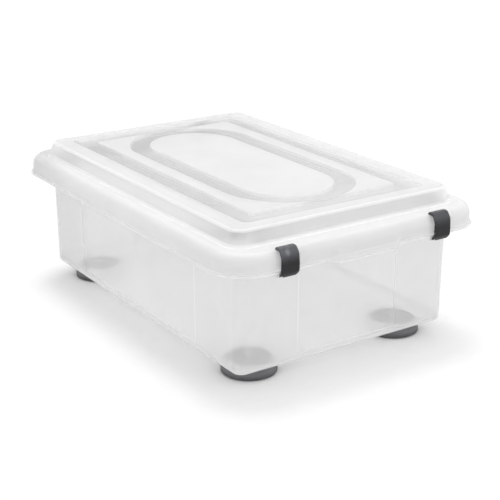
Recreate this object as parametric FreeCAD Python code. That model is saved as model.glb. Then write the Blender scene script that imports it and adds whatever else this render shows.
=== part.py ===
import FreeCAD, Part
import math
import os
from FreeCAD import Vector

os.makedirs("parts", exist_ok=True)

# Under-bed storage box: a tub with a clipped-on lid, on four swivel castors.
# Frame: X along the long side, Y across, Z up.  Origin on the floor, under
# the middle of the box.  All sizes in millimetres.

# ---------------------------------------------------------------- driving sizes
# Rounded rectangles: half length, half width, corner radius
LIP = (295.0, 202.1, 52.0)            # outer edge of the rim lip
WALL = (258.0, 169.5, 17.0)           # outside of the tub wall at the top
PLATFORM = (262.5, 176.5, 25.0)       # raised middle of the lid, at its base
CHANNEL_OUTER = (234.0, 143.0, 11.0)  # rectangular channel, outer edge
CHANNEL_INNER = (207.0, 115.0, 4.0)   # rectangular channel, inner edge

SHEET = 2.0                           # rim and lid sheet thickness
OVERLAP = 2.0                         # flat plates run this far into the rings round them

# Tub wall and floor
WALL_DRAFT = 1.5                      # inward run of the wall, top to bottom
WALL_T = 2.2                          # wall and floor thickness
FLOOR_Z = 19.0                        # underside of the floor
FLOOR_TOP = FLOOR_Z + WALL_T
FLOOR_FILLET = 7.5                    # outside fillet between wall and floor
FLOOR_MARGIN = 14.0                   # width of floor made with the wall

# Tub rim
LIP_BOT, LIP_TOP = 162.3, 164.0       # lip at its edge
LIP_ROOT = 164.8                      # top of the lip at the skirt
FLANGE_TOP = 186.7                    # horizontal flange
FLANGE_BOT = FLANGE_TOP - SHEET
RIM_MARGIN = 28.0                     # rim ring, inward from the lip edge
TUB_SKIRT = 5.7                       # skirt, inboard of the lip edge
TUB_SHOULDER = 11.6                   # outside radius, flange to skirt
WALL_SLOPE = WALL_DRAFT / (FLANGE_TOP - FLOOR_Z)

# Lid
DECK_TOP = 189.0                      # flat margin
DECK_BOT = DECK_TOP - SHEET
DECK_MARGIN = 24.0                    # edge ring, inward from the lip edge
LID_SKIRT = 3.2                       # skirt, inboard of the lip edge
LID_SHOULDER = 14.0
LID_FLARE, LID_FLARE_Z = 1.6, 168.8   # the skirt turns out at its edge
LID_BOT = 165.0
PLATFORM_TOP = 209.7
PLATFORM_BOT = PLATFORM_TOP - SHEET
PLATFORM_DRAFT = 7.9
PLATFORM_MARGIN = 23.0                # platform ring, inward from its base outline
PLATFORM_FOOT = 6.0                   # platform ring, outward from its base outline
DECK_HOLE = 3.6                       # deck opening, beyond the platform outline

# Channels in the lid
STADIUM_X = 115.0                     # end centres of the stadium channel
STADIUM_OUTER, STADIUM_INNER = 95.0, 66.0
CHANNEL_DEPTH, CHANNEL_RUN = 3.0, 1.8 # depth, horizontal run of the side walls
RIDGE_GROW = 1.3                      # ridge below a channel, wider on each side

# Recessed wall panels
PANEL_HALF_X, PANEL_HALF_Y = 157.0, 78.0
PANEL_BOT, PANEL_TOP = 31.0, 150.0
PANEL_DEPTH = 1.2
PANEL_LAP = 1.6                       # panel sheet laps past its opening
PANEL_CUT_IN, PANEL_CUT_OUT = 5.5, 1.0  # reach of the cut either side of the wall face

# Hand grips in the middle of the two short sides
GRIP_FACE, GRIP_ROOT = 44.0, 56.5     # half widths where the grip is full and where it ends
GRIP_OUT, GRIP_DOWN = 2.2, 5.0        # rim pushed out and down

# Clips and their hinges
CLIP_Y, CLIP_W = 119.5, 25.0          # position across, width
CLIP_HALF = CLIP_W / 2
HINGE_X, HINGE_Z = 289.8, 158.9       # hinge axis
ROD_R = 1.4
ROD_END = 1.2                         # rod length past each side of the clip
KNUCKLE_R = 3.2
KNUCKLE_BORE = ROD_R + 0.06
KNUCKLE_INSET = 1.0                   # knuckle end, in from the side of the clip
LUG_R, LUG_T = KNUCKLE_R - 0.1, 2.4
HINGE_GAP = 0.4                       # clip to lug
SLOT_IN, SLOT_HALF = 6.0, 1.1         # slot in the knuckle: inboard reach, half height
NOTCH_IN = 6.0                        # lip notch, inboard of the hinge axis
NOTCH_BOT, NOTCH_TOP = 150.0, 165.8

# Castors
CASTOR_X, CASTOR_Y = 206.9, 118.6     # swivel axes
PIN_R, PIN_BOT, PIN_TOP = 2.5, 6.8, 19.5
COLLAR_R, COLLAR_T = 4.8, 1.0
STUB_R, STUB_BOT = 5.0, 11.5          # stub under the tub floor
BORE_R, BORE_TOP = PIN_R + 0.05, 20.0
DOME_R, DOME_H = 4.2, 1.0             # low dome inside the tub over each stub
CUP_R, CUP_FLAT = 36.6, 30.0          # outside, corner of the flat top
CUP_TOP, CUP_BOT, CUP_T = 18.4, 1.1, 2.0
CUP_BURY = CUP_TOP - CUP_T + 0.8      # ribs and cheeks end here, inside the cup sheet
WELL_R, WELL_Z = 5.6, 10.4
CUP_HOLE = WELL_R - 1.0               # inner edge of the cup sheet, inside the hub
HUB_R, HUB_BOT = 8.0, 6.4
HUB_TOP = CUP_TOP - 0.6
WHEEL_R, WHEEL_W = 7.6, 14.0
WHEEL_OFFSET = 18.0                   # axle toward -X from the swivel axis
AXLE_R, AXLE_L = 1.5, 19.8
WHEEL_BORE = AXLE_R + 0.05
CHEEK_R, CHEEK_T, CHEEK_GAP = 4.6, 2.5, 0.45  # plates beside the wheel
RIB_START, RIB_BOT, RIB_HALF = 6.0, 11.2, 0.8
RIB_ANGLES = (0.0, 50.0, -50.0, 100.0, -100.0)

# Name, X sign and Y sign of each corner
CORNERS = (("px_ny", 1, -1), ("px_py", 1, 1), ("nx_ny", -1, -1), ("nx_py", -1, 1))


# ---------------------------------------------------------------- helpers
def rounded_wire(corners):
    """Closed wire through (point, fillet radius) corners."""
    bends = []
    for i, (point, radius) in enumerate(corners):
        if radius <= 0:
            bends.append((point, None, point))
            continue
        back = corners[i - 1][0] - point
        ahead = corners[(i + 1) % len(corners)][0] - point
        back.normalize()
        ahead.normalize()
        half_angle = back.getAngle(ahead) / 2.0
        tangent = radius / math.tan(half_angle)
        bisector = back + ahead
        bisector.normalize()
        centre = point + bisector * (radius / math.sin(half_angle))
        bends.append((point + back * tangent, centre - bisector * radius, point + ahead * tangent))
    edges = []
    for i, (start, middle, end) in enumerate(bends):
        if middle is not None:
            edges.append(Part.Arc(start, middle, end).toShape())
        following = bends[(i + 1) % len(bends)][0]
        if (following - end).Length > 1e-7:
            edges.append(Part.LineSegment(end, following).toShape())
    return Part.Wire(edges)


def section_face(points, y=0.0):
    """Face in the XZ plane from (x, z[, fillet radius]) points."""
    return Part.Face(rounded_wire(
        [(Vector(x, y, z), fillet[0] if fillet else 0.0) for x, z, *fillet in points]))


def revolved(points):
    return section_face(points).revolve(Vector(0, 0, 0), Vector(0, 0, 1), 360.0)


def moved(shape, x, y, z=0.0):
    result = shape.copy()
    result.translate(Vector(x, y, z))
    return result


def turned(shape, angle):
    """Copy turned about Z."""
    result = shape.copy()
    result.rotate(Vector(0, 0, 0), Vector(0, 0, 1), angle)
    return result


def mirror_x(shape):
    return shape.mirror(Vector(0, 0, 0), Vector(1, 0, 0))


def mirror_y(shape):
    return shape.mirror(Vector(0, 0, 0), Vector(0, 1, 0))


def fuse_all(shapes):
    return shapes[0].multiFuse(shapes[1:]).removeSplitter()


def cut_all(shape, cutters):
    return shape.cut(Part.makeCompound(cutters))


def box(x0, x1, y0, y1, z0, z1):
    return Part.makeBox(x1 - x0, y1 - y0, z1 - z0, Vector(x0, y0, z0))


def cylinder_y(x, z, radius, y0, y1):
    return Part.makeCylinder(radius, y1 - y0, Vector(x, y0, z), Vector(0, 1, 0))


def cylinder_z(radius, z0, z1):
    return Part.makeCylinder(radius, z1 - z0, Vector(0, 0, z0))


def grown(outline, amount):
    return tuple(size + amount for size in outline)


def outline_wire(outline, z):
    half_x, half_y, radius = outline
    signs = ((-1, -1), (1, -1), (1, 1), (-1, 1))
    return rounded_wire([(Vector(sx * half_x, sy * half_y, z), radius) for sx, sy in signs])


def plate(outline, z0, z1):
    return Part.Face(outline_wire(outline, z0)).extrude(Vector(0, 0, z1 - z0))


def frustum(outline0, z0, outline1, z1):
    return Part.makeLoft([outline_wire(outline0, z0), outline_wire(outline1, z1)], True, True)


def stadium(radius0, z0, radius1, z1):
    """Solid stadium with sloping sides."""
    ends = [Part.makeCone(radius0, radius1, z1 - z0, Vector(side * STADIUM_X, 0, z0))
            for side in (1, -1)]
    section = [(-radius0, z0), (radius0, z0), (radius1, z1), (-radius1, z1)]
    wire = rounded_wire([(Vector(-STADIUM_X, y, z), 0.0) for y, z in section])
    middle = Part.Face(wire).extrude(Vector(2 * STADIUM_X, 0, 0))
    return fuse_all([middle] + ends)


def ring(section, outline, grip_section=None):
    """Sweep a section (offset from the outline, z[, fillet]) round an outline.
    grip_section replaces it in the middle of the two short sides."""
    half_x, half_y, radius = outline
    centre_x, centre_y = half_x - radius, half_y - radius

    def face(points, y=0.0):
        return section_face([(radius + x, *rest) for x, *rest in points], y)

    def grip_side():
        pieces = []
        for side in (1, -1):
            y0, y1 = side * GRIP_FACE, side * GRIP_ROOT
            wires = [face(grip_section, y0).OuterWire, face(section, y1).OuterWire]
            pieces.append(Part.makeLoft(wires, True, True))
            pieces.append(face(section, y1).extrude(Vector(0, side * centre_y - y1, 0)))
        pieces.append(face(grip_section, -GRIP_FACE).extrude(Vector(0, 2 * GRIP_FACE, 0)))
        return pieces

    # Each quarter: signs of the corner centre, then the straight run from one end of it
    quarters = (
        (1, 1, Vector(0, -2 * centre_y, 0)), (-1, 1, Vector(2 * centre_x, 0, 0)),
        (-1, -1, Vector(0, 2 * centre_y, 0)), (1, -1, Vector(-2 * centre_x, 0, 0)))
    parts = []
    for i, (sx, sy, run) in enumerate(quarters):
        start = turned(face(section), 90.0 * i)
        corner = start.revolve(Vector(0, 0, 0), Vector(0, 0, 1), 90.0)
        parts.append(moved(corner, sx * centre_x, sy * centre_y))
        if grip_section is not None and i in (0, 2):
            parts += [turned(moved(piece, centre_x, 0), 90.0 * i) for piece in grip_side()]
        else:
            parts.append(moved(start, sx * centre_x, sy * centre_y).extrude(run))
    return fuse_all(parts)


def save(shape, name):
    if len(shape.Solids) == 1:
        shape = shape.Solids[0]
    shape.exportStep("parts/%s.step" % name)


# ---------------------------------------------------------------- tub
def rim_section(out=0.0, down=0.0):
    """Flange, shoulder, skirt and lip; out and down shift the lower part."""
    skirt = out - TUB_SKIRT
    return [
        (-RIM_MARGIN, FLANGE_BOT), (-RIM_MARGIN, FLANGE_TOP),
        (skirt, FLANGE_TOP, TUB_SHOULDER), (skirt, LIP_ROOT - down, 0.8),
        (out, LIP_TOP - down, 0.75), (out, LIP_BOT - down, 0.75),
        (skirt - SHEET, LIP_BOT - down, 1.0),
        (skirt - SHEET, FLANGE_BOT, TUB_SHOULDER - SHEET)]


def tub_shell():
    wall = ring([
        (-FLOOR_MARGIN, FLOOR_Z), (-WALL_DRAFT, FLOOR_Z, FLOOR_FILLET), (0.0, FLANGE_TOP),
        (-WALL_T, FLANGE_TOP), (-WALL_DRAFT - WALL_T, FLOOR_TOP, FLOOR_FILLET - WALL_T),
        (-FLOOR_MARGIN, FLOOR_TOP)], WALL)
    floor = plate(grown(WALL, OVERLAP - FLOOR_MARGIN), FLOOR_Z, FLOOR_TOP)
    rim = ring(rim_section(), LIP, rim_section(GRIP_OUT, GRIP_DOWN))
    flange = plate(grown(LIP, OVERLAP - RIM_MARGIN), FLANGE_BOT, FLANGE_TOP).cut(
        plate(grown(WALL, -1.0), FLANGE_BOT - 1, FLANGE_TOP + 1))
    return fuse_all([wall, floor, rim, flange])


def panel_sheet(wall_half, panel_half):
    """Sloping panel on the +X side, one step inboard of the wall face."""
    z0, z1 = PANEL_BOT - PANEL_LAP, PANEL_TOP + PANEL_LAP
    x0, x1 = (wall_half - WALL_SLOPE * (FLANGE_TOP - z) - PANEL_DEPTH for z in (z0, z1))
    face = section_face([(x0, z0), (x1, z1), (x1 - WALL_T, z1), (x0 - WALL_T, z0)])
    half = panel_half + PANEL_LAP
    return moved(face.extrude(Vector(0, 2 * half, 0)), 0, -half)


def recess_walls(tub):
    """Cut an opening in each wall and close it one step inboard."""
    wall_x, wall_y, _ = WALL
    long_cut = box(-PANEL_HALF_X, PANEL_HALF_X, wall_y - PANEL_CUT_IN, wall_y + PANEL_CUT_OUT,
                   PANEL_BOT, PANEL_TOP)
    end_cut = box(wall_x - PANEL_CUT_IN, wall_x + PANEL_CUT_OUT, -PANEL_HALF_Y, PANEL_HALF_Y,
                  PANEL_BOT, PANEL_TOP)
    tub = cut_all(tub, [long_cut, mirror_y(long_cut), end_cut, mirror_x(end_cut)])
    end_panel = panel_sheet(wall_x, PANEL_HALF_Y)
    long_panel = turned(panel_sheet(wall_y, PANEL_HALF_X), 90)
    return fuse_all([tub, end_panel, mirror_x(end_panel), long_panel, mirror_y(long_panel)])


def add_hinges(tub):
    """Notch the lip behind each clip, then add two lugs and a rod under it."""
    lug_start = CLIP_HALF + HINGE_GAP
    notch = box(HINGE_X - NOTCH_IN, LIP[0] + 1.0, -lug_start, lug_start, NOTCH_BOT, NOTCH_TOP)
    cutters = []
    for side in (1, -1):
        placed = moved(notch, 0, side * CLIP_Y)
        cutters += [placed, mirror_x(placed)]
    tub = cut_all(tub, cutters)

    lug = fuse_all([
        cylinder_y(HINGE_X, HINGE_Z, LUG_R, 0, LUG_T),
        box(HINGE_X - LUG_R, HINGE_X + LUG_R, 0, LUG_T, HINGE_Z, LIP_BOT + 1.0)])
    rod_half = CLIP_HALF + ROD_END
    hinges = []
    for side in (1, -1):
        y = side * CLIP_Y
        hinges += [moved(lug, 0, y + start) for start in (-lug_start - LUG_T, lug_start)]
        hinges.append(cylinder_y(HINGE_X, HINGE_Z, ROD_R, y - rod_half, y + rod_half))
    return fuse_all([tub] + hinges + [mirror_x(hinge) for hinge in hinges])


def add_stubs(tub):
    """Under each castor position a stub with a blind pin bore, and a dome over it."""
    stub = revolved([
        (0, STUB_BOT), (STUB_R, STUB_BOT, 0.5), (STUB_R, FLOOR_Z - 0.6),
        (STUB_R + 0.5, FLOOR_Z + 0.6), (DOME_R, FLOOR_TOP - 0.4),
        (DOME_R - 0.5, FLOOR_TOP + DOME_H, 0.6), (0, FLOOR_TOP + DOME_H)])
    bore = cylinder_z(BORE_R, STUB_BOT - 2, BORE_TOP)
    places = [(sx * CASTOR_X, sy * CASTOR_Y) for sx in (1, -1) for sy in (1, -1)]
    tub = tub.multiFuse([moved(stub, x, y) for x, y in places])
    return cut_all(tub, [moved(bore, x, y) for x, y in places]).removeSplitter()


save(add_stubs(add_hinges(recess_walls(tub_shell()))), "tub")


# ---------------------------------------------------------------- lid
def edge_section(out=0.0, down=0.0):
    """Deck margin, shoulder and flared skirt; out and down shift the lower part."""
    skirt = out - LID_SKIRT
    return [
        (-DECK_MARGIN, DECK_BOT), (-DECK_MARGIN, DECK_TOP),
        (skirt, DECK_TOP, LID_SHOULDER), (skirt, LID_FLARE_Z - down, 4.0),
        (skirt + LID_FLARE, LID_BOT - down, 0.5),
        (skirt + LID_FLARE - SHEET, LID_BOT - down, 0.5),
        (skirt - SHEET, LID_FLARE_Z - down, 4.0),
        (skirt - SHEET, DECK_BOT, LID_SHOULDER - SHEET)]


def channels(grow, z0, z1):
    """Rectangular and stadium channels as one solid, each side widened by grow."""
    spread = CHANNEL_RUN * (z1 - z0) / CHANNEL_DEPTH
    shift = grow - CHANNEL_RUN
    outer = grown(CHANNEL_OUTER, shift)
    inner_x, inner_y, inner_r = CHANNEL_INNER
    inner = (inner_x - shift, inner_y - shift, inner_r + CHANNEL_RUN)
    rectangle = frustum(outer, z0, grown(outer, spread), z1).cut(
        frustum(inner, z0, grown(inner, -spread), z1))
    outer_r, inner_r = STADIUM_OUTER + shift, STADIUM_INNER - shift
    oval = stadium(outer_r, z0, outer_r + spread, z1).cut(
        stadium(inner_r, z0, inner_r - spread, z1))
    return fuse_all([rectangle, oval])


def make_lid():
    edge = ring(edge_section(), LIP, edge_section(GRIP_OUT, GRIP_DOWN))
    raised = ring([
        (PLATFORM_FOOT, DECK_BOT), (PLATFORM_FOOT, DECK_TOP), (0.4, DECK_TOP, 3.0),
        (-PLATFORM_DRAFT, PLATFORM_TOP, 4.2), (-PLATFORM_MARGIN, PLATFORM_TOP),
        (-PLATFORM_MARGIN, PLATFORM_BOT), (-PLATFORM_DRAFT - 1.4, PLATFORM_BOT, 2.2),
        (-1.4, DECK_BOT, 5.0)], PLATFORM)
    deck = plate(grown(LIP, OVERLAP - DECK_MARGIN), DECK_BOT, DECK_TOP).cut(
        plate(grown(PLATFORM, DECK_HOLE), DECK_BOT - 1, DECK_TOP + 1))
    top = plate(grown(PLATFORM, OVERLAP - PLATFORM_MARGIN), PLATFORM_BOT, PLATFORM_TOP)
    # The ridge reaches into the top sheet; the cutter passes out above it
    ridge = channels(RIDGE_GROW, PLATFORM_BOT - CHANNEL_DEPTH, PLATFORM_BOT + 0.4)
    cutter = channels(0.0, PLATFORM_TOP - CHANNEL_DEPTH, PLATFORM_TOP + 1.0)
    return fuse_all([edge, raised, deck, top, ridge]).cut(cutter).removeSplitter()


save(make_lid(), "lid")

# ---------------------------------------------------------------- clips
# Side profile of the clip on the +X side: x, z, fillet radius
CLIP_PROFILE = [
    (281.7, 188.95, 0.5), (283.9, 192.2, 0.9), (290.6, 192.6, 5.0), (297.2, 184.2, 10.0),
    (298.3, 171.5, 30.0), (297.9, 161.4, 8.0), (294.6, 155.72, 2.8),
    (HINGE_X, HINGE_Z - KNUCKLE_R), (HINGE_X, HINGE_Z), (291.9, 161.2),
    (295.4, 161.7, 0.6), (295.4, 180.6, 8.0), (291.4, 188.0, 2.6)]
# Outline seen along X: y, z, fillet radius
CLIP_OUTLINE = [
    (-CLIP_HALF, 155.0, 8.0), (CLIP_HALF, 155.0, 8.0),
    (CLIP_HALF, 193.4, 3.0), (-CLIP_HALF, 193.4, 3.0)]


def make_clip():
    """Clip for the +X side, centred on Y = 0."""
    clip = moved(section_face(CLIP_PROFILE).extrude(Vector(0, CLIP_W, 0)), 0, -CLIP_HALF)
    wire = rounded_wire([(Vector(0, y, z), radius) for y, z, radius in CLIP_OUTLINE])
    outline = moved(Part.Face(wire).extrude(Vector(40, 0, 0)), 270.0, 0)
    clip = clip.common(outline)
    knuckle_half = CLIP_HALF - KNUCKLE_INSET
    knuckle = cylinder_y(HINGE_X, HINGE_Z, KNUCKLE_R, -knuckle_half, knuckle_half)
    cut_half = CLIP_HALF + 1
    clip = cut_all(fuse_all([clip, knuckle]), [
        cylinder_y(HINGE_X, HINGE_Z, KNUCKLE_BORE, -cut_half, cut_half),
        box(HINGE_X - SLOT_IN, HINGE_X, -cut_half, cut_half,
            HINGE_Z - SLOT_HALF, HINGE_Z + SLOT_HALF)])
    return clip.Solids[0]


clip = make_clip()
for tag, sx, sy in CORNERS:
    save(moved(clip if sx > 0 else mirror_x(clip), 0, sy * CLIP_Y), "clip_" + tag)


# ---------------------------------------------------------------- castors
# Built with the swivel axis on Z
def make_cup():
    shell = revolved([
        (CUP_HOLE, CUP_TOP), (CUP_FLAT, CUP_TOP, 3.0), (CUP_R, 10.4, 6.5),
        (CUP_R, CUP_BOT, 0.8), (CUP_R - CUP_T, CUP_BOT, 0.6), (CUP_R - CUP_T, 10.0, 4.6),
        (CUP_FLAT - 0.9, CUP_TOP - CUP_T, 2.0), (CUP_HOLE, CUP_TOP - CUP_T)])
    parts = [shell, cylinder_z(HUB_R, HUB_BOT, HUB_TOP)]
    cheek_y = WHEEL_W / 2 + CHEEK_GAP
    for y0 in (cheek_y, -cheek_y - CHEEK_T):
        y1 = y0 + CHEEK_T
        parts.append(fuse_all([
            box(-WHEEL_OFFSET - CHEEK_R, -WHEEL_OFFSET + CHEEK_R, y0, y1, WHEEL_R, CUP_BURY),
            cylinder_y(-WHEEL_OFFSET, WHEEL_R, CHEEK_R, y0, y1)]))
    rib = box(RIB_START, CUP_R - 4.0, -RIB_HALF, RIB_HALF, RIB_BOT, CUP_BURY)
    for angle in RIB_ANGLES:
        parts.append(turned(rib, angle).common(cylinder_z(CUP_FLAT + 1.5, 0, 30)))
    return cut_all(fuse_all(parts), [
        cylinder_z(WELL_R, WELL_Z, WELL_Z + 20.0),
        cylinder_z(PIN_R, HUB_BOT - 1.0, HUB_BOT + 19.0),
        cylinder_y(-WHEEL_OFFSET, WHEEL_R, AXLE_R, -12, 12)])


def make_pin():
    return revolved([
        (0, PIN_BOT), (PIN_R - 0.5, PIN_BOT), (PIN_R, PIN_BOT + 0.5), (PIN_R, WELL_Z),
        (COLLAR_R, WELL_Z), (COLLAR_R, WELL_Z + COLLAR_T, 0.3), (PIN_R, WELL_Z + COLLAR_T),
        (PIN_R, PIN_TOP - 0.8), (PIN_R - 0.8, PIN_TOP), (0, PIN_TOP)])


def on_axle(shape):
    """Lay a shape made round Z along the axle."""
    shape.rotate(Vector(0, 0, 0), Vector(1, 0, 0), 90)
    return moved(shape, -WHEEL_OFFSET, 0, WHEEL_R)


def make_wheel():
    half = WHEEL_W / 2
    return on_axle(revolved([
        (WHEEL_BORE, -half), (WHEEL_R - 0.4, -half, 1.0), (WHEEL_R, -half + 2.2, 1.5),
        (WHEEL_R, half - 2.2, 1.5), (WHEEL_R - 0.4, half, 1.0), (WHEEL_BORE, half)]))


def make_axle():
    half, chamfer = AXLE_L / 2, 0.3
    return on_axle(revolved([
        (0, -half), (AXLE_R - chamfer, -half), (AXLE_R, -half + chamfer),
        (AXLE_R, half - chamfer), (AXLE_R - chamfer, half), (0, half)]))


castor = {"cup": make_cup(), "pin": make_pin(), "wheel": make_wheel(), "axle": make_axle()}
for tag, sx, sy in CORNERS:
    for name, shape in castor.items():
        save(moved(shape, sx * CASTOR_X, sy * CASTOR_Y), "castor_%s_%s" % (name, tag))
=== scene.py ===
"""Translucent storage box with a lid, charcoal clips and castors, on a white studio floor.

Metres, Z up.  The box is centred on the Z axis with its long side along X, and its
castors stand on z = 0.  The camera looks from +X and -Y, a little above the lid.
"""

import math

import bmesh
import bpy
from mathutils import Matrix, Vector

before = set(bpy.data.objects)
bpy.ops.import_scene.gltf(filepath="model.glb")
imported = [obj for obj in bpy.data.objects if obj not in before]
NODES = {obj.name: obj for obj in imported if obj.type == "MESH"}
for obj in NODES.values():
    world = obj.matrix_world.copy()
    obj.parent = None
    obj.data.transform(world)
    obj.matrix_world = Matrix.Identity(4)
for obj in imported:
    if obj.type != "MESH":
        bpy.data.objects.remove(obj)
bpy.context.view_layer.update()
scene = bpy.context.scene


# ------------------------------------------------------------------ node helpers
def grey(value):
    return (value, value, value, 1.0)


class Shader:
    """Builds the node tree of a material or a world."""

    def __init__(self, owner, output="OutputMaterial"):
        owner.use_nodes = True
        self.owner = owner
        self.tree = owner.node_tree
        self.tree.nodes.clear()
        self.output = self.node(output)

    def node(self, kind, inputs=None, **settings):
        """Adds a node; each input is either a constant or a socket to link from."""
        made = self.tree.nodes.new("ShaderNode" + kind)
        for key, value in settings.items():
            setattr(made, key, value)
        for key, value in (inputs or {}).items():
            if isinstance(value, bpy.types.NodeSocket):
                self.tree.links.new(value, made.inputs[key])
            else:
                made.inputs[key].default_value = value
        return made

    def finish(self, surface):
        self.tree.links.new(surface, self.output.inputs["Surface"])
        return self.owner

    # arithmetic
    def math(self, operation, *values):
        return self.node("Math", dict(enumerate(values)), operation=operation).outputs[0]

    def fold(self, operation, first, *others):
        for other in others:
            first = self.math(operation, first, other)
        return first

    def add(self, *values):
        return self.fold("ADD", *values)

    def mul(self, *values):
        return self.fold("MULTIPLY", *values)

    def largest(self, *values):
        return self.fold("MAXIMUM", *values)

    def absolute(self, value):
        return self.math("ABSOLUTE", value)

    def hypot(self, x, y):
        return self.math("SQRT", self.add(self.mul(x, x), self.mul(y, y)))

    # ramps
    def ramp(self, value, over, to=(0.0, 1.0), smooth=False):
        """Maps the span `over` onto the span `to`, held level beyond both ends."""
        return self.node("MapRange", dict(enumerate((value, *over, *to))), clamp=True,
                         interpolation_type="SMOOTHSTEP" if smooth else "LINEAR").outputs[0]

    def fall(self, value, over):
        return self.ramp(value, over, to=(1.0, 0.0))

    def blend(self, mask, to):
        """Goes from to[0] where the mask is 0 to to[1] where it is 1."""
        return self.ramp(mask, over=(0.0, 1.0), to=to)

    def peak(self, distance, half, soft):
        """1 within half of zero, falling to 0 over soft."""
        return self.fall(self.absolute(distance), over=(half, half + soft))

    def band(self, outer, inner, soft):
        """1 between two outlines, 0 elsewhere."""
        return self.mul(self.fall(outer, over=(-soft, soft)),
                        self.ramp(inner, over=(-soft, soft)))

    # signed distances to outlines centred on the origin, negative inside
    def rect(self, x, y, half_x, half_y, corner):
        """Rounded rectangle."""
        past_x = self.add(self.absolute(x), -(half_x - corner))
        past_y = self.add(self.absolute(y), -(half_y - corner))
        outside = self.hypot(self.largest(past_x, 0.0), self.largest(past_y, 0.0))
        inside = self.math("MINIMUM", self.largest(past_x, past_y), 0.0)
        return self.add(outside, inside, -corner)

    def stadium(self, x, y, half_straight, radius):
        """Stadium lying along X."""
        past_x = self.largest(self.add(self.absolute(x), -half_straight), 0.0)
        return self.add(self.hypot(past_x, y), -radius)

    # coordinates, textures and colours
    def axes(self, vector):
        return self.node("SeparateXYZ", {0: vector}).outputs[:3]

    def shift(self, vector, offset, scale=(1.0, 1.0, 1.0)):
        return self.node("Mapping", {"Vector": vector, "Location": offset,
                                     "Scale": scale}).outputs[0]

    def noise(self, vector, scale, roughness, detail=3.0, distortion=0.0):
        return self.node("TexNoise", {"Vector": vector, "Scale": scale, "Detail": detail,
                                      "Roughness": roughness,
                                      "Distortion": distortion}).outputs[0]

    def bump(self, height, strength, distance, normal=None):
        inputs = {"Height": height, "Strength": strength, "Distance": distance}
        if normal is not None:
            inputs["Normal"] = normal
        return self.node("Bump", inputs).outputs[0]

    def grey(self, value):
        return self.node("CombineColor", dict.fromkeys(range(3), value)).outputs[0]

    def colour_ramp(self, value, stops, interpolation="LINEAR"):
        """Stops are (position, colour): the two ends first, then any between them."""
        made = self.node("ValToRGB", {0: value})
        made.color_ramp.interpolation = interpolation
        elements = made.color_ramp.elements
        for index, (position, colour) in enumerate(stops):
            element = elements[index] if index < 2 else elements.new(position)
            element.position = position
            element.color = colour
        return made.outputs[0]

    def mix(self, factor, first, second):
        return self.node("MixShader", {0: factor, 1: first, 2: second}).outputs[0]


# ------------------------------------------------------------------ clear plastic
SHEET_IOR = 1.30    # weak reflection off the sheet
HAZE_IOR = 1.05     # slight bending in the hazy part
MAX_ALPHA = 0.97
HIGHLIGHT_AND_EDGE_MILK = 0.45    # milkiness added where an edge mask is 1; along bends, lips and panel outlines it is a painted highlight line

# outlines in plan
RIM = dict(half_x=0.295, half_y=0.2021, corner=0.052)
PLATEAU = dict(half_x=0.2625, half_y=0.1765, corner=0.025)

# lid: light passed by the fields and by the channels, then gains on the milkiness
LID_TINT, LID_SMOKE = 0.995, 0.955
LID_CHANNEL_GAIN, LID_CHANNEL_RISE = 0.24, 0.30    # the rise is added toward +X
LID_RIM_GAIN = 1.25
LID_FLANK_GAINS = (0.86, 0.60)                     # general, +X end

# tub: light passed by the floor and by the walls, then gains on the milkiness
TUB_FLOOR_TINT, TUB_TINT = 0.97, 0.955
TUB_FLOOR, TUB_TOUCH, TUB_UPPER, TUB_RIM = 2.20, 0.12, 0.50, 1.30
CASTOR_X, CASTOR_Y = 0.2069, 0.1186


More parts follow.
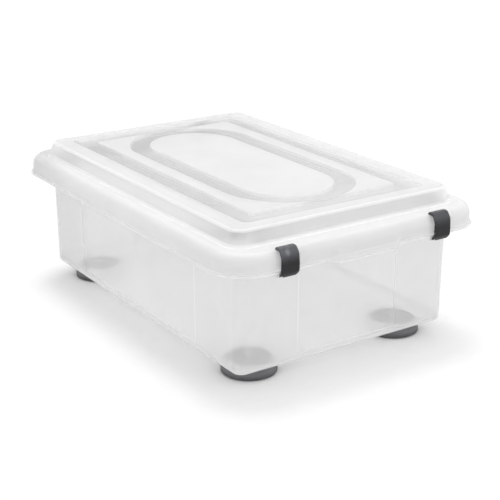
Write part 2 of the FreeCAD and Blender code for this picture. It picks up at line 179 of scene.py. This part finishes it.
def clear_plastic(name, mask, alpha, edge, milk, rough, seed, haze_mix, haze_rough):
    """Natural polypropylene: part clear, part milky, with a soft sheen.

    mask gives the gain on the milkiness, the light passed, the milkiness added at
    edges (partly painted highlight lines), and a factor of painted shade, all as sockets.
    """
    mat = Shader(bpy.data.materials.new(name))
    position = mat.node("TexCoord").outputs["Object"]
    place = mat.shift(position, offset=(seed, seed * 1.7, seed * 0.6))

    # very low orange peel from the mould plus a fine grain
    peel = mat.noise(place, scale=26.0, detail=2.0, roughness=0.5, distortion=0.4)
    fine = mat.noise(place, scale=900.0, detail=2.0, roughness=0.6)
    normal = mat.bump(peel, strength=0.05, distance=0.0016)
    normal = mat.bump(fine, strength=0.05, distance=0.0002, normal=normal)
    cloud = mat.noise(place, scale=9.0, detail=4.0, roughness=0.55, distortion=0.6)

    # looking along the sheet goes through more plastic
    weight = mat.node("LayerWeight", {"Blend": 0.5, "Normal": normal})
    facing = weight.outputs["Facing"]
    grazing_power = 2.2
    opacity = mat.add(mat.mul(mat.math("POWER", facing, grazing_power), edge), alpha)
    opacity = mat.mul(opacity, mat.ramp(cloud, over=(0.3, 0.7), to=(0.95, 1.05)))
    # the last two outputs are milk added at edges, partly painted highlight lines, and a
    # factor of painted shade
    gain, tint, highlight_and_edge_milk, painted_shade = mask(mat, *mat.axes(position))
    opacity = mat.add(mat.mul(opacity, gain), highlight_and_edge_milk)
    opacity = mat.math("MINIMUM", opacity, MAX_ALPHA)

    # the milky body scatters light to both sides
    # painted shade darkens the milky body
    milk_colour = mat.grey(mat.mul(painted_shade, milk))
    diffuse = mat.node("BsdfDiffuse",
                       {"Color": milk_colour, "Roughness": 0.6, "Normal": normal})
    glow = mat.node("BsdfTranslucent", {"Color": milk_colour, "Normal": normal})
    scatter_split = 0.5
    body = mat.mix(scatter_split, diffuse.outputs[0], glow.outputs[0])

    # part of what is seen through the sheet is blurred by its haze
    # painted shade darkens the light passed as well
    tint_colour = mat.grey(mat.mul(tint, painted_shade))
    clear = mat.node("BsdfTransparent", {"Color": tint_colour})
    haze = mat.node("BsdfRefraction", {"Color": tint_colour, "IOR": HAZE_IOR,
                                       "Roughness": haze_rough, "Normal": normal})
    haze_part = mat.ramp(facing, over=(0.40, 0.80), to=(haze_mix, haze_mix * 0.2))
    through = mat.mix(haze_part, clear.outputs[0], haze.outputs[0])
    base = mat.mix(opacity, through, body)

    # the same weak reflection from either side of the sheet
    sheen_rough = mat.ramp(cloud, over=(0.25, 0.75), to=(rough * 0.85, rough * 1.2))
    gloss = mat.node("BsdfGlossy",
                     {"Color": grey(1.0), "Roughness": sheen_rough, "Normal": normal})
    backfacing = mat.node("NewGeometry").outputs["Backfacing"]
    ior = mat.blend(backfacing, to=(SHEET_IOR, 1.0 / SHEET_IOR))
    fresnel = mat.node("Fresnel", {"IOR": ior, "Normal": normal})
    return mat.finish(mat.mix(fresnel.outputs[0], base, gloss.outputs[0]))


def channel_mask(mat, x, y, z):
    """The pressed channels of the lid: a rectangular ring and a stadium ring."""
    soft = 0.0007
    rectangle = mat.band(mat.rect(x, y, half_x=0.234, half_y=0.143, corner=0.011),
                         mat.rect(x, y, half_x=0.207, half_y=0.115, corner=0.004), soft)
    stadium = mat.band(mat.stadium(x, y, half_straight=0.115, radius=0.095),
                       mat.stadium(x, y, half_straight=0.115, radius=0.066), soft)
    return mat.mul(mat.largest(rectangle, stadium), mat.ramp(z, over=(0.200, 0.203)))


def lid_mask(mat, x, y, z):
    """Channels and plateau flanks are clearer; the bent edges are milkier, drawn as painted
    highlight lines; painted shade darkens the +X flank, the -X end low down and the rim.
    """
    plateau = mat.rect(x, y, **PLATEAU)
    flank = mat.mul(mat.ramp(z, over=(0.1905, 0.1925)),
                    mat.fall(z, over=(0.2060, 0.2085)),
                    mat.ramp(plateau, over=(-0.012, -0.009)),
                    mat.fall(plateau, over=(0.001, 0.002)))
    channel = channel_mask(mat, x, y, z)
    rim_gain = mat.ramp(z, over=(0.186, 0.1895), to=(LID_RIM_GAIN, 1.0))
    channel_low = mat.ramp(x, over=(0.12, 0.23),
                           to=(LID_CHANNEL_GAIN, LID_CHANNEL_GAIN + LID_CHANNEL_RISE))
    channel_gain = mat.add(mat.mul(channel, mat.add(channel_low, -1.0)), 1.0)
    x_end = mat.mul(mat.ramp(x, over=(0.240, 0.254)),
                    mat.fall(mat.absolute(y), over=(0.138, 0.158)))
    flank_gain = mat.blend(flank, to=(1.0, mat.blend(x_end, to=LID_FLANK_GAINS)))
    gain = mat.mul(channel_gain, flank_gain, rim_gain)

    # outer lip, foot of the plateau and the bend at its crown: milkier there, drawn as
    # painted highlight lines
    lip = mat.ramp(mat.rect(x, y, **RIM), over=(-0.0026, -0.0019))
    lip = mat.mul(lip, mat.ramp(z, over=(0.1670, 0.1685), to=(0.25, 0.0)))
    foot = mat.mul(mat.peak(plateau, half=0.0010, soft=0.0016),
                   mat.fall(z, over=(0.1925, 0.1940)))
    crown = mat.mul(mat.ramp(plateau, over=(-0.0112, -0.0100)),
                    mat.ramp(z, over=(0.2058, 0.2072)))
    crown_strength = 0.7
    highlight_and_milk_edges = mat.largest(lip, foot, mat.mul(crown, crown_strength))

    # painted shade: darker on the +X flank, toward -X low down, and on the rim, most toward
    # +X
    x_flank = mat.mul(flank, x_end)
    minus_x_shade = mat.mul(mat.fall(x, over=(-0.295, -0.14)), mat.fall(z, over=(0.1885, 0.1960)))
    rim_painted_shade = mat.ramp(x, over=(0.15, 0.28), to=(0.975, 0.958))
    painted_shade = mat.mul(mat.blend(minus_x_shade, to=(1.0, 0.93)),
                  mat.blend(x_flank, to=(1.0, 0.93)),
                  mat.ramp(z, over=(0.1860, 0.1885), to=(rim_painted_shade, 1.0)))
    tint = mat.blend(channel, to=(LID_TINT, LID_SMOKE))
    return gain, tint, mat.mul(highlight_and_milk_edges, HIGHLIGHT_AND_EDGE_MILK), painted_shade


def tub_mask(mat, x, y, z):
    """Floor, rim, bent edges and the stubs over the castors are milkier; the bent foot,
    panel outlines and lip are drawn as painted highlight lines, and painted shade darkens
    toward -X and round the foot.
    """
    abs_x = mat.absolute(x)
    abs_y = mat.absolute(y)
    castor = mat.hypot(mat.add(abs_x, -CASTOR_X), mat.add(abs_y, -CASTOR_Y))

    # the floor is only clear where a castor's flat top touches it
    under = mat.ramp(castor, over=(0.0285, 0.0300), to=(TUB_TOUCH, TUB_FLOOR))
    upper = mat.ramp(castor, over=(0.0320, 0.0345), to=(TUB_UPPER * 0.3, TUB_UPPER))
    gain = mat.ramp(z, over=(0.0193, 0.0199), to=(under, upper))
    gain = mat.add(gain, mat.ramp(z, over=(0.0222, 0.0245), to=(0.0, 1.0 - TUB_UPPER)))
    rim_gain = mat.ramp(z, over=(0.158, 0.166), to=(1.0, TUB_RIM))

    # bend round the foot of the walls, drawn as a painted highlight line, and more milk low
    # on the +X wall, so it reads lighter
    foot = mat.rect(x, y, half_x=0.2565, half_y=0.168, corner=0.0155)
    base = mat.mul(mat.ramp(foot, over=(-0.0080, -0.0050)),
                   mat.ramp(z, over=(0.0240, 0.0300), to=(0.8, 0.0)))
    low_plus_x_milk_strength = 0.10
    low_plus_x_milk = mat.mul(mat.fall(z, over=(0.030, 0.085)), mat.ramp(x, over=(0.235, 0.245)),
                   low_plus_x_milk_strength)

    # outlines of the rectangular panels on the four walls, drawn as painted highlight lines
    panel_z = mat.add(z, -0.0905)  # measured from the middle of the panels

    def panel(along, half_length, across, wall, abs_along, end):
        outline = mat.rect(along, panel_z, half_x=half_length, half_y=0.0595,
                           corner=0.0005)
        return mat.mul(mat.peak(outline, half=0.0006, soft=0.0009),
                       mat.ramp(across, over=wall), mat.fall(abs_along, over=end))

    side_panel = panel(x, half_length=0.157, across=abs_y, wall=(0.160, 0.161),
                       abs_along=abs_x, end=(0.1600, 0.1610))
    end_panel = panel(y, half_length=0.078, across=abs_x, wall=(0.245, 0.246),
                      abs_along=abs_y, end=(0.0800, 0.0810))

    # painted highlight line along the lower lip of the rim
    lip = mat.ramp(mat.rect(x, y, **RIM), over=(-0.0022, -0.0012))
    stub = mat.fall(castor, over=(0.0040, 0.0052))
    panel_highlight_strength, lip_highlight_strength, stub_strength = 0.17, 0.1, 1.5
    # painted highlight lines, milkier stubs over the castors, and more milk low on the +X
    # wall
    highlight_and_milk_edges = mat.largest(base, mat.mul(side_panel, panel_highlight_strength),
                        mat.mul(end_panel, panel_highlight_strength), mat.mul(lip, lip_highlight_strength),
                        mat.mul(stub, stub_strength), low_plus_x_milk)

    # painted shade: darker toward -X and round the foot
    painted_shade = mat.mul(mat.ramp(x, over=(-0.30, -0.12), to=(0.96, 1.0)),
                  mat.ramp(base, over=(0.0, 0.8), to=(1.0, 0.91)))
    tint = mat.ramp(z, over=(0.0215, 0.0245), to=(TUB_FLOOR_TINT, TUB_TINT))
    return mat.mul(gain, rim_gain), tint, mat.mul(highlight_and_milk_edges, HIGHLIGHT_AND_EDGE_MILK), painted_shade


# ------------------------------------------------------------------ dark plastic, steel
def dark_plastic(name, base, rough, grain, seed, spec=0.45, painted_light=None):
    """Moulded charcoal plastic with a fine spark-eroded grain.

    If given, the last argument returns a brightness factor for a place on the piece:
    painted highlight or painted shade.
    """
    def shade(factor):
        return (*(min(1, channel * factor) for channel in base), 1.0)

    mat = Shader(bpy.data.materials.new(name))
    geometry = mat.node("NewGeometry")
    position = mat.node("TexCoord").outputs["Object"]
    place = mat.shift(position, offset=(seed, seed * 1.3, seed * 0.7))
    sparks = mat.noise(place, scale=grain, roughness=0.6)
    mottle = mat.noise(place, scale=45.0, roughness=0.5, distortion=0.3)
    normal = mat.bump(sparks, strength=0.25, distance=0.00025)
    normal = mat.bump(mottle, strength=0.05, distance=0.0005, normal=normal)
    colour = mat.colour_ramp(mottle, stops=((0.3, shade(0.86)), (0.75, shade(1.14))))

    # edges rub a little lighter
    bevel = mat.node("Bevel", {"Radius": 0.0007}, samples=6)
    turn = mat.node("VectorMath", {0: bevel.outputs[0], 1: geometry.outputs["Normal"]},
                    operation="DOT_PRODUCT")
    worn = mat.fall(turn.outputs["Value"], over=(0.90, 0.985))
    wear_strength = 0.2
    colour = mat.node("Mix", {"Factor": mat.mul(worn, wear_strength),
                              "A": colour, "B": shade(2.4)},
                      data_type="RGBA").outputs["Result"]
    # painted highlight or painted shade scales the colour here
    if painted_light is not None:
        factor = painted_light(mat, *mat.axes(position))
        colour = mat.node("VectorMath", {0: colour, "Scale": factor},
                          operation="SCALE").outputs[0]
    surface = mat.node("BsdfPrincipled", {
        "Base Color": colour,
        "Roughness": mat.ramp(mottle, over=(0.3, 0.7), to=(rough * 0.9, rough * 1.12)),
        "Specular IOR Level": spec,
        "Normal": normal,
    })
    return mat.finish(surface.outputs[0])


def clip_painted_highlight(mat, x, y, z):
    """Painted highlight: greyer on the top bend, with a painted glint as a soft spot on the
    shoulder.
    """
    top = mat.ramp(y, over=(-0.05, 0.05), to=(9.0, 6.0))
    bend_highlight = mat.ramp(z, over=(0.1715, 0.1905), to=(1.0, top), smooth=True)
    # painted glint: a soft bright spot on the shoulder
    glint_y, glint_z = -0.1225, 0.1868
    glint = mat.hypot(mat.add(y, -glint_y), mat.add(z, -glint_z))
    return mat.add(bend_highlight, mat.ramp(glint, over=(0.0, 0.0055), to=(9.0, 0.0), smooth=True))


def cup_painted_shade(mat, x, y, z):
    """Slightly lighter on the flat top, with painted shade darkest at the foot."""
    return mat.mul(mat.ramp(z, over=(0.0172, 0.0183), to=(0.58, 0.76)),
                   mat.ramp(z, over=(0.0010, 0.0075), to=(0.60, 1.85)))


def steel(name, seed):
    """Zinc-plated steel with streaks drawn out by a stretched noise."""
    mat = Shader(bpy.data.materials.new(name))
    place = mat.shift(mat.node("TexCoord").outputs["Object"], offset=(seed, seed, seed),
                      scale=(1.0, 1.0, 14.0))
    streaks = mat.noise(place, scale=260.0, roughness=0.6)
    dull, bright = (0.50, 0.51, 0.53, 1.0), (0.70, 0.71, 0.72, 1.0)
    surface = mat.node("BsdfPrincipled", {
        "Base Color": mat.colour_ramp(streaks, stops=((0.0, dull), (1.0, bright))),
        "Metallic": 1.0,
        "Roughness": mat.ramp(streaks, over=(0.3, 0.7), to=(0.26, 0.42)),
        "Normal": mat.bump(streaks, strength=0.2, distance=0.0001),
    })
    return mat.finish(surface.outputs[0])


TUB = clear_plastic("tub_pp", tub_mask, alpha=0.22, edge=0.26, milk=0.99, rough=0.22,
                    seed=3.1, haze_mix=0.11, haze_rough=0.30)
LID = clear_plastic("lid_pp", lid_mask, alpha=0.31, edge=0.42, milk=0.98, rough=0.20,
                    seed=8.4, haze_mix=0.42, haze_rough=0.45)
# the clips carry a painted highlight on the top bend and a painted glint
CLIP = dark_plastic("clip_charcoal", base=(0.010, 0.0104, 0.0113), rough=0.27,
                    grain=1500.0, seed=1.3, spec=0.35, painted_light=clip_painted_highlight)
# the castor cups carry painted shade, darkest at the foot
CUP = dark_plastic("castor_charcoal", base=(0.13, 0.13, 0.135), rough=0.48,
                   grain=1300.0, seed=5.2, painted_light=cup_painted_shade)
WHEEL = dark_plastic("wheel_black", base=(0.035, 0.035, 0.037), rough=0.6,
                     grain=1800.0, seed=9.9)
STEEL = steel("zinc_steel", seed=2.0)


# ------------------------------------------------------------------ CAD pieces
def sharp_group(degrees):
    """Geometry nodes that mark the edges turning by more than degrees as sharp."""
    group = bpy.data.node_groups.new("sharp_%g" % degrees, "GeometryNodeTree")
    for direction in ("INPUT", "OUTPUT"):
        group.interface.new_socket("Geometry", in_out=direction,
                                   socket_type="NodeSocketGeometry")
    group_in = group.nodes.new("NodeGroupInput")
    group_out = group.nodes.new("NodeGroupOutput")
    angle = group.nodes.new("GeometryNodeInputMeshEdgeAngle")
    compare = group.nodes.new("FunctionNodeCompare")
    compare.data_type = "FLOAT"
    compare.operation = "GREATER_THAN"
    compare.inputs["B"].default_value = math.radians(degrees)
    shading = group.nodes.new("GeometryNodeSetShadeSmooth")
    shading.domain = "EDGE"
    shading.inputs["Shade Smooth"].default_value = False
    group.links.new(angle.outputs["Unsigned Angle"], compare.inputs["A"])
    group.links.new(group_in.outputs[0], shading.inputs["Geometry"])
    group.links.new(compare.outputs["Result"], shading.inputs["Selection"])
    group.links.new(shading.outputs[0], group_out.inputs[0])
    return group


def dress(piece, material, sharp):
    """Gives a CAD piece its material and clean smooth shading."""
    piece.data.materials.clear()
    piece.data.materials.append(material)
    piece.data.shade_smooth()
    weld = piece.modifiers.new("weld", "WELD")
    weld.merge_threshold = 0.00001
    piece.modifiers.new("sharp", "NODES").node_group = sharp
    normals = piece.modifiers.new("normals", "WEIGHTED_NORMAL")
    normals.keep_sharp = True
    normals.weight = 50


def material_for(name):
    if name == "tub":
        return TUB
    if name == "lid":
        return LID
    for prefix, material in (("clip", CLIP), ("castor_cup", CUP), ("castor_wheel", WHEEL)):
        if name.startswith(prefix):
            return material
    return STEEL


SHARP = sharp_group(degrees=33.0)
for name, piece in NODES.items():
    dress(piece, material_for(name), SHARP)

# ------------------------------------------------------------------ floor
FLOOR_HALF = 9.0
FLOOR_ALBEDO, ALBEDO_SPREAD = 0.80, 0.005
FLOOR_GLOW, FLOOR_BOUNCE = 1.03, 0.88    # emission seen directly, and by all other rays
SHADE_X, SHADE_Y = 0.040, -0.009         # middle of the painted pool of shade


def floor_material():
    """Lit from below like a light table, except in a painted pool of shade round the box,
    where the floor is plain matte and shaded by the lamps.
    """
    mat = Shader(bpy.data.materials.new("floor_white"))
    position = mat.node("TexCoord").outputs["Object"]
    x, y, _ = mat.axes(position)
    shade_pool_distance = mat.rect(mat.add(x, -SHADE_X), mat.add(y, -SHADE_Y),
                    half_x=0.25, half_y=0.1625, corner=0.03)
    grain = mat.noise(position, scale=60.0, roughness=0.5)
    albedo = mat.ramp(grain, over=(0.3, 0.7),
                      to=(FLOOR_ALBEDO - ALBEDO_SPREAD, FLOOR_ALBEDO + ALBEDO_SPREAD))
    matte = mat.node("BsdfDiffuse", {"Color": mat.grey(albedo)})

    # direct means a camera ray that has passed through no transparent surface
    path = mat.node("LightPath").outputs
    direct = mat.mul(path["Is Camera Ray"],
                     mat.math("LESS_THAN", path["Transparent Depth"], 0.5))
    glow = mat.node("Emission",
                    {"Strength": mat.blend(direct, to=(FLOOR_BOUNCE, FLOOR_GLOW))})
    # painted shade: the glow fades in over the edge of the pool
    outside_shade_pool = mat.ramp(shade_pool_distance, over=(0.016, 0.089), smooth=True)
    top = mat.mix(outside_shade_pool, matte.outputs[0], glow.outputs[0])

    # from underneath the floor is a window, so the castors can be looked at
    backfacing = mat.node("NewGeometry").outputs["Backfacing"]
    window = mat.node("BsdfTransparent")
    return mat.finish(mat.mix(backfacing, top, window.outputs[0]))


def make_floor():
    sheet = bmesh.new()
    sheet.faces.new([sheet.verts.new((x * FLOOR_HALF, y * FLOOR_HALF, 0.0))
                     for x, y in ((-1, -1), (1, -1), (1, 1), (-1, 1))])
    mesh = bpy.data.meshes.new("floor")
    sheet.to_mesh(mesh)
    sheet.free()
    floor = bpy.data.objects.new("floor", mesh)
    scene.collection.objects.link(floor)
    mesh.materials.append(floor_material())
    return floor


floor = make_floor()

# ------------------------------------------------------------------ light
SKY_LOW, SKY_MID, SKY_TOP = 0.86, 0.90, 1.25    # twice the ramp colours, by height
SKY_GAINS = (1.3, 2.5)                          # strength toward -X and toward +X
BACKDROP = 1.05                                 # plain white seen by the camera


def make_world():
    world = bpy.data.worlds.new("studio")
    scene.world = world
    sky = Shader(world, output="OutputWorld")
    x, _, z = sky.axes(sky.node("TexCoord").outputs["Generated"])
    colour = sky.colour_ramp(z, interpolation="EASE", stops=(
        (0.0, grey(SKY_LOW / 2)), (1.0, grey(SKY_TOP / 2)), (0.5, grey(SKY_MID / 2))))
    strength = sky.ramp(x, over=(-1.0, 0.6), to=SKY_GAINS)
    studio = sky.node("Background", {"Color": colour, "Strength": strength})
    backdrop = sky.node("Background", {"Color": grey(1.0), "Strength": BACKDROP})
    camera_ray = sky.node("LightPath").outputs["Is Camera Ray"]
    sky.finish(sky.mix(camera_ray, studio.outputs[0], backdrop.outputs[0]))


def add_object(name, data, location, direction=None, rotation=None):
    """Adds a light or camera that looks along direction."""
    holder = bpy.data.objects.new(name, data)
    scene.collection.objects.link(holder)
    holder.location = location
    holder.rotation_mode = "QUATERNION"
    holder.rotation_quaternion = direction.to_track_quat("-Z", "Y")
    return holder


def make_top_light(location, target):
    light = bpy.data.lights.new("top_soft", "AREA")
    light.shape = "RECTANGLE"
    light.size = light.size_y = 1.6
    light.energy = 14.0
    add_object("top_soft", light, location, Vector(target) - Vector(location))


make_world()
make_top_light(location=(-0.40, 0.27, 2.2), target=(0, 0, 0.1))


# ------------------------------------------------------------------ camera
def make_camera(location, azimuth, elevation):
    """Azimuth turns from -Y toward +X; both angles place the camera from its subject."""
    camera = bpy.data.cameras.new("camera")
    camera.sensor_width = 36.0
    camera.lens = 88.15
    camera.clip_start, camera.clip_end = 0.05, 50.0
    back = Vector((math.sin(azimuth) * math.cos(elevation),
                   -math.cos(azimuth) * math.cos(elevation), math.sin(elevation)))
    scene.camera = add_object("camera", camera, location, -back)


make_camera(location=(1.3935, -0.9112, 0.6766),
            azimuth=math.radians(56.2), elevation=math.radians(19.8))

# ------------------------------------------------------------------ render
scene.view_settings.view_transform = "Standard"
scene.view_settings.look = "None"
scene.view_settings.exposure = 0.0
scene.view_settings.gamma = 1.0
scene.cycles.max_bounces = 24
scene.cycles.transparent_max_bounces = 32
scene.cycles.transmission_bounces = 16
scene.cycles.diffuse_bounces = 12
scene.cycles.glossy_bounces = 8
